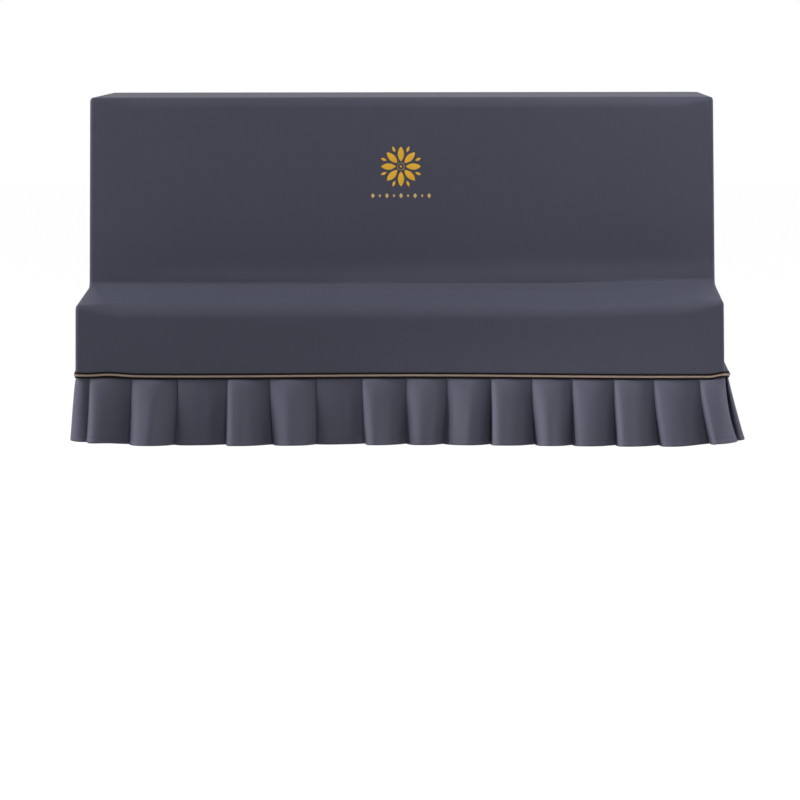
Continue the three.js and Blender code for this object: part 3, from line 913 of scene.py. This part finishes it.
def addFrill(name, cadNode, first, last):
    drop = cover["seam"] - cover["hem"]
    hemShare = 1 - frill["hemHeight"] / drop
    shares = [0.0, 0.022, 0.045, 0.052, 0.064, 0.082, 0.105, 0.135]
    shares += spread(0.17, hemShare - 0.03, 18)
    shares += [hemShare - 0.014, hemShare - 0.006, hemShare, hemShare + 0.006, hemShare + 0.02]
    shares += [1 - 0.02, 1.0]
    rows = []
    for t in reversed(shares):
        row = []
        for s, out in frillSection(first, last, t):
            x, y, _ = frillPlace(s, 0.0, 0.0)
            lift = t * frill["hemLift"] * nearCorner(x, y, frill["hemLiftReach"])
            lift += frill["drawnUp"] * out * out
            z = mix(cover["seam"] - 0.00025, cover["hem"], t) + seamRise(x, y) + lift
            row.append(frillPlace(s, out + pushedOut(x, y, cover["seam"] - 0.001), z))
        rows.append(row)
    grid = [list(column) for column in zip(*rows)]
    heights = [(1 - t) * drop for t in reversed(shares)]

    def relief(j, u):
        above = heights[j] - frill["hemHeight"]
        doubled = frill["hemDoubled"] if above < 0 else 0.0
        drawn = -frill["hemDrawn"] * hump(above, 0.0015)
        pucker = frill["hemPucker"] * (math.sin(u / 0.0021) + 0.5 * math.sin(u / 0.0013 + 1))
        return doubled + drawn + pucker * hump(above, 0.006)

    piece, grid = clothPiece(name, grid, frill["thickness"], frillCloth, relief)
    hemRow = shares[::-1].index(hemShare)
    normals = gridNormals(grid)
    path = [column[hemRow] for column in grid]
    facing = [line[hemRow] for line in normals]
    lift = frill["stitchLift"]
    stitches = stitchRow(name + "Stitches", path, facing, hemStitch, sewingThread, lift)
    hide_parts(cadNode)
    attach(piece, "root")


lastLeft = len(leftPleats) - 1
lastFront = lastLeft + len(frontPleats)
addFrill("frillClothLeft", "frill_left", -1, lastLeft)
addFrill("frillClothFront", "frill_front", lastLeft + 1, lastFront)
addFrill("frillClothRight", "frill_right", lastFront + 1, len(pleats) - 1)
print("frill made")

# Braid

braid = {
    "tapeHeight": 0.014,
    "tapeCloth": 0.001,
    "edgeCord": 0.0011,  # radius of the rolled edges of the tape
    "ribPitch": 0.0026,
    "twistHeight": 0.006,
    "twistDepth": 0.0024,
    "twistPitch": 0.0105,
    "strands": 2,
    "strandOut": 0.22,  # how far a strand winds out and up from the middle, in the twist's sizes
    "strandUp": 0.26,
    "strandDepth": 0.27,  # half the strand's own depth and height, in the twist's sizes
    "strandHeight": 0.22,
    "layGap": 0.0003,
}
coverHalf = 0.001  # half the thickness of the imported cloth, which the tape lies on


def braidPath(standOff, step):
    # Sections along the lower seam: a function of how far out and up, and the distance along.
    place, _, _, length = threeSides(
        sideX(cover["seam"]) + standOff, cover["frontY"] - standOff, cover["edgeTurn"] + standOff
    )
    count = round(length / step)
    sections = []
    for s in spread(0, length, count):
        x, y, _ = place(s, 0.0, 0.0)
        sections.append((s, pushedOut(x, y, cover["seam"]), cover["seam"] + seamRise(x, y)))
    return place, sections


def tubeFaces(rings, sides, first=0):
    faces = []
    for k in range(rings - 1):
        for n in range(sides):
            a, b = first + k * sides + n, first + k * sides + (n + 1) % sides
            faces.append((a, a + sides, b + sides, b))
    end = first + (rings - 1) * sides
    faces.append(tuple(first + n for n in range(sides)))
    faces.append(tuple(end + n for n in reversed(range(sides))))
    return faces


def addTape():
    standOff = coverHalf + braid["layGap"] + braid["tapeCloth"] / 2
    place, sections = braidPath(standOff, braid["ribPitch"] / 4)
    half = braid["tapeHeight"] / 2
    cord = braid["edgeCord"]
    flat = braid["tapeCloth"] / 2
    # Its section, (out, up, how much the ribs swell it), round from the lower edge.
    rim = [(math.sin(a), math.cos(a)) for a in spread(-0.75 * math.pi, 0.75 * math.pi, 5)]
    outline = [(cord * x * 0.75, half - cord + cord * z, 1.0) for x, z in rim]
    outline += [(flat * 0.8, 0.0, 0.3)]
    outline += [(-cord * x * 0.75, -half + cord - cord * z, 1.0) for x, z in rim]
    outline += [(-flat * 0.8, 0.0, 0.0)]
    points, uvs = [], []
    for s, pushed, z in sections:
        rib = math.cos(2 * math.pi * s / braid["ribPitch"])
        for out, up, ribbed in outline:
            swell = 1 + 0.16 * rib * ribbed
            points.append(place(s, out * swell + pushed, z + up))
            uvs.append((s, up))
    piece = makePiece("braidTape", points, tubeFaces(len(sections), len(outline)), tapeThread, uvs)
    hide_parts("braid_tape")
    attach(piece, "root")


def addTwist():
    standOff = coverHalf + braid["tapeCloth"] + 2 * braid["layGap"] + braid["twistDepth"] / 2
    place, sections = braidPath(standOff, braid["twistPitch"] / 12)
    sides = 6
    points, faces, uvs = [], [], []
    for strand in range(braid["strands"]):
        first = len(points)
        for s, pushed, z in sections:
            wound = 2 * math.pi * (s / braid["twistPitch"] + strand / braid["strands"])
            outCentre = braid["strandOut"] * braid["twistDepth"] * math.cos(wound)
            upCentre = braid["strandUp"] * braid["twistHeight"] * math.sin(wound)
            for n in range(sides):
                angle = 2 * math.pi * n / sides
                out = outCentre + braid["strandDepth"] * braid["twistDepth"] * math.cos(angle)
                up = upCentre + braid["strandHeight"] * braid["twistHeight"] * math.sin(angle)
                points.append(place(s, out + pushed, z + up))
                uvs.append((s, up))
        faces += tubeFaces(len(sections), sides, first)
    piece = makePiece("braidTwist", points, faces, twistThread, uvs)
    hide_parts("braid_twist")
    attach(piece, "root")


addTape()
addTwist()
print("braid made")

# Gilt motif: a rosette in satin stitch, with a row of lozenges under it.

motif = {
    "place": (0.0, -0.167),  # x and z of its middle on the upper front
    "petals": 8,
    "petalLength": 0.036,
    "petalWidth": 0.0155,
    "petalFrom": 0.0125,
    "leafLength": 0.015,
    "leafWidth": 0.0065,
    "leafFrom": 0.038,
    "beads": 12,
    "beadRing": 0.0085,
    "bead": 0.0021,
    "centre": 0.0052,
    "height": 0.0009,
    "sunk": 0.0003,  # how deep the flat back of each shape lies in the cloth
    "rowDrop": 0.0715,
    "lozengeLength": 0.0125,
    "lozengeWidth": 0.0085,
    "lozengeStep": 0.0172,
    "lozenges": 9,
    "smallLozenge": 0.62,  # every second one, against the others
}
panelTree = BVHTree.FromObject(mainPanelCloth, bpy.context.evaluated_depsgraph_get())


def onUpperFront(x, z, height):
    hit, normal, _, _ = panelTree.ray_cast(Vector((x, -1, z)), Vector((0, 1, 0)))
    if normal.y > 0:
        normal = -normal
    return hit + normal * height


def stitchedShape(points, faces, uvs, centre, turn, start, length, width, roundness, height):
    # A domed leaf of thread from start outwards, at an angle from straight up, with a flat back.
    steps, across = 18, 8
    away = Vector((math.sin(turn), math.cos(turn)))
    side = Vector((away.y, -away.x))
    first = len(points)
    for layer in (1, 0):
        for i in range(steps + 1):
            share = i / steps
            half = width / 2 * max(math.sin(math.pi * share), 0.0) ** roundness
            for j in range(across + 1):
                w = 2 * j / across - 1
                flat = away * (start + length * share) + side * (half * w)
                dome = height * math.sqrt(max(1 - w * w, 0))
                dome *= 0.35 + 0.65 * min(half / (width / 2), 1)
                raised = dome if layer else -motif["sunk"]
                points.append(onUpperFront(centre[0] + flat.x, centre[1] + flat.y, raised))
                uvs.append((length * share + 0.35 * abs(w) * half, half * w))
    count = across + 1
    top = gridFaces(steps + 1, count, first)
    under = gridFaces(steps + 1, count, first + (steps + 1) * count)
    faces += top + [tuple(reversed(face)) for face in under]
    offset = (steps + 1) * count
    for i in range(steps):
        for j in (0, across):
            a, b = first + i * count + j, first + (i + 1) * count + j
            quad = (a, a + offset, b + offset, b)
            faces.append(quad if j else tuple(reversed(quad)))


def addMotif():
    points, faces, uvs = [], [], []
    centre, height = motif["place"], motif["height"]
    for n in range(motif["petals"]):
        turn = 2 * math.pi / motif["petals"] * n
        size = motif["petalFrom"], motif["petalLength"], motif["petalWidth"]
        stitchedShape(points, faces, uvs, centre, turn, *size, 0.75, height)
        turn += math.pi / motif["petals"]
        size = motif["leafFrom"], motif["leafLength"], motif["leafWidth"]
        stitchedShape(points, faces, uvs, centre, turn, *size, 0.8, height)
    for n in range(motif["beads"]):
        turn = 2 * math.pi / motif["beads"] * n
        ring, bead = motif["beadRing"], motif["bead"]
        at = (centre[0] + ring * math.sin(turn), centre[1] + ring * math.cos(turn))
        stitchedShape(points, faces, uvs, at, 0.0, -bead / 2, bead, bead, 0.5, height)
    knot = motif["centre"]
    stitchedShape(points, faces, uvs, centre, 0.0, -knot / 2, knot, knot, 0.5, height * 1.3)
    rosette = makePiece("giltRosette", points, faces, giltThread, uvs)
    points, faces, uvs = [], [], []
    for n in range(motif["lozenges"]):
        x = centre[0] + motif["lozengeStep"] * (n - (motif["lozenges"] - 1) / 2)
        scale = motif["smallLozenge"] if n % 2 == 1 else 1.0
        length = motif["lozengeLength"] * scale
        width = motif["lozengeWidth"] * scale
        at = (x, centre[1] - motif["rowDrop"])
        stitchedShape(points, faces, uvs, at, 0.0, -length / 2, length, width, 1.1, height * 0.8)
    row = makePiece("giltRow", points, faces, paleGiltThread, uvs)
    for piece in (rosette, row):
        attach(piece, "root")


addMotif()
print("motif made")

# Studio: a pale floor where the piano's feet would stand, a white surround, and soft lamps.

studio = {
    "floorZ": -1.21,
    "floorWhite": 0.45,
    "glow": 1.16,  # the floor's own brightness to the camera, which leaves its shadow showing
    "glowShare": 0.85,
    "surround": 0.09,
    "aim": (0.0, -0.3, -0.4),  # where a lamp without an aim of its own points
    "lamps": [
        {"name": "keyLamp", "at": (-3.99, -0.96, 1.57), "size": (1.4, 1.4), "power": 175},
        {"name": "lowKeyLamp", "at": (-4.46, -0.85, -0.15), "size": (1.2, 1.2), "power": 80},
        {"name": "rightLamp", "at": (4.46, -0.77, -0.01), "size": (1.2, 1.2), "power": 75},
        {"name": "sideLamp", "at": (2.00, -1.60, 0.40), "size": (0.8, 0.8), "power": 7,
         "aim": (0.8, -0.3, -0.5)},
        {"name": "endSpot", "at": (-2.20, -1.40, -0.50), "cone": 13, "soft": 0.15, "power": 240,
         "aim": (0.74, -0.42, -0.74)},
        {"name": "topLamp", "at": (1.20, -0.60, 1.20), "size": (0.8, 0.8), "power": 17,
         "aim": (0.5, -0.3, -0.5)},
        {"name": "fillLamp", "at": (1.30, -4.50, 1.20), "size": (1.4, 1.4), "power": 46},
        {"name": "backLamp", "at": (-0.60, 4.20, 2.00), "size": (2.4, 1.6), "power": 6,
         "aim": (0.0, 0.2, -0.3)},
    ],
}


def seenRays(nodes, links):
    # 1 for rays that show a surface in the picture, 0 for those that only carry its light.
    path = nodes.new("ShaderNodeLightPath")
    camera, glossy = path.outputs["Is Camera Ray"], path.outputs["Is Glossy Ray"]
    seen = math2(nodes, links, "MAXIMUM", camera, glossy)
    return math2(nodes, links, "MAXIMUM", seen, path.outputs["Is Transmission Ray"])


def addFloor():
    size = 14.0
    corners = [(-size, -size, 0), (size, -size, 0), (size, size, 0), (-size, size, 0)]
    material, nodes, links, shader = paint("paleFloor")
    shader.inputs["Base Color"].default_value = (*[studio["floorWhite"]] * 3, 1)
    shader.inputs["Roughness"].default_value = 0.9
    shader.inputs["Specular IOR Level"].default_value = 0.0
    glow = node(nodes, "ShaderNodeEmission", Color=(1, 1, 1, 1), Strength=studio["glow"])
    share = math2(nodes, links, "MULTIPLY", seenRays(nodes, links), studio["glowShare"])
    both = nodes.new("ShaderNodeMixShader")
    links.new(share, both.inputs[0])
    links.new(shader.outputs[0], both.inputs[1])
    links.new(glow.outputs[0], both.inputs[2])
    links.new(both.outputs[0], nodes["Material Output"].inputs["Surface"])
    floor = makePiece("floor", corners, [(0, 1, 2, 3)], material)
    floor.location.z = studio["floorZ"]


def addSurround():
    world = bpy.data.worlds.new("surround")
    world.use_nodes = True
    nodes, links = world.node_tree.nodes, world.node_tree.links
    light = nodes["Background"]
    light.inputs["Color"].default_value = (1, 1, 1, 1)
    light.inputs["Strength"].default_value = studio["surround"]
    white = node(nodes, "ShaderNodeBackground", Color=(1, 1, 1, 1), Strength=1.0)
    both = nodes.new("ShaderNodeMixShader")
    links.new(seenRays(nodes, links), both.inputs[0])
    links.new(light.outputs[0], both.inputs[1])
    links.new(white.outputs[0], both.inputs[2])
    links.new(both.outputs[0], nodes["World Output"].inputs["Surface"])
    bpy.context.scene.world = world


def addLamps():
    for settings in studio["lamps"]:
        data = bpy.data.lights.new(settings["name"], "SPOT" if "cone" in settings else "AREA")
        if "cone" in settings:
            data.spot_size = math.radians(settings["cone"])
            data.spot_blend = 1.0
            data.shadow_soft_size = settings["soft"]
        else:
            data.shape = "RECTANGLE"
            data.size, data.size_y = settings["size"]
        data.energy = settings["power"]
        lamp = bpy.data.objects.new(settings["name"], data)
        bpy.context.scene.collection.objects.link(lamp)
        lamp.location = settings["at"]
        ahead = Vector(settings.get("aim", studio["aim"])) - lamp.location
        lamp.rotation_euler = ahead.to_track_quat("-Z", "Y").to_euler()


addFloor()
addSurround()
addLamps()
print("studio made")
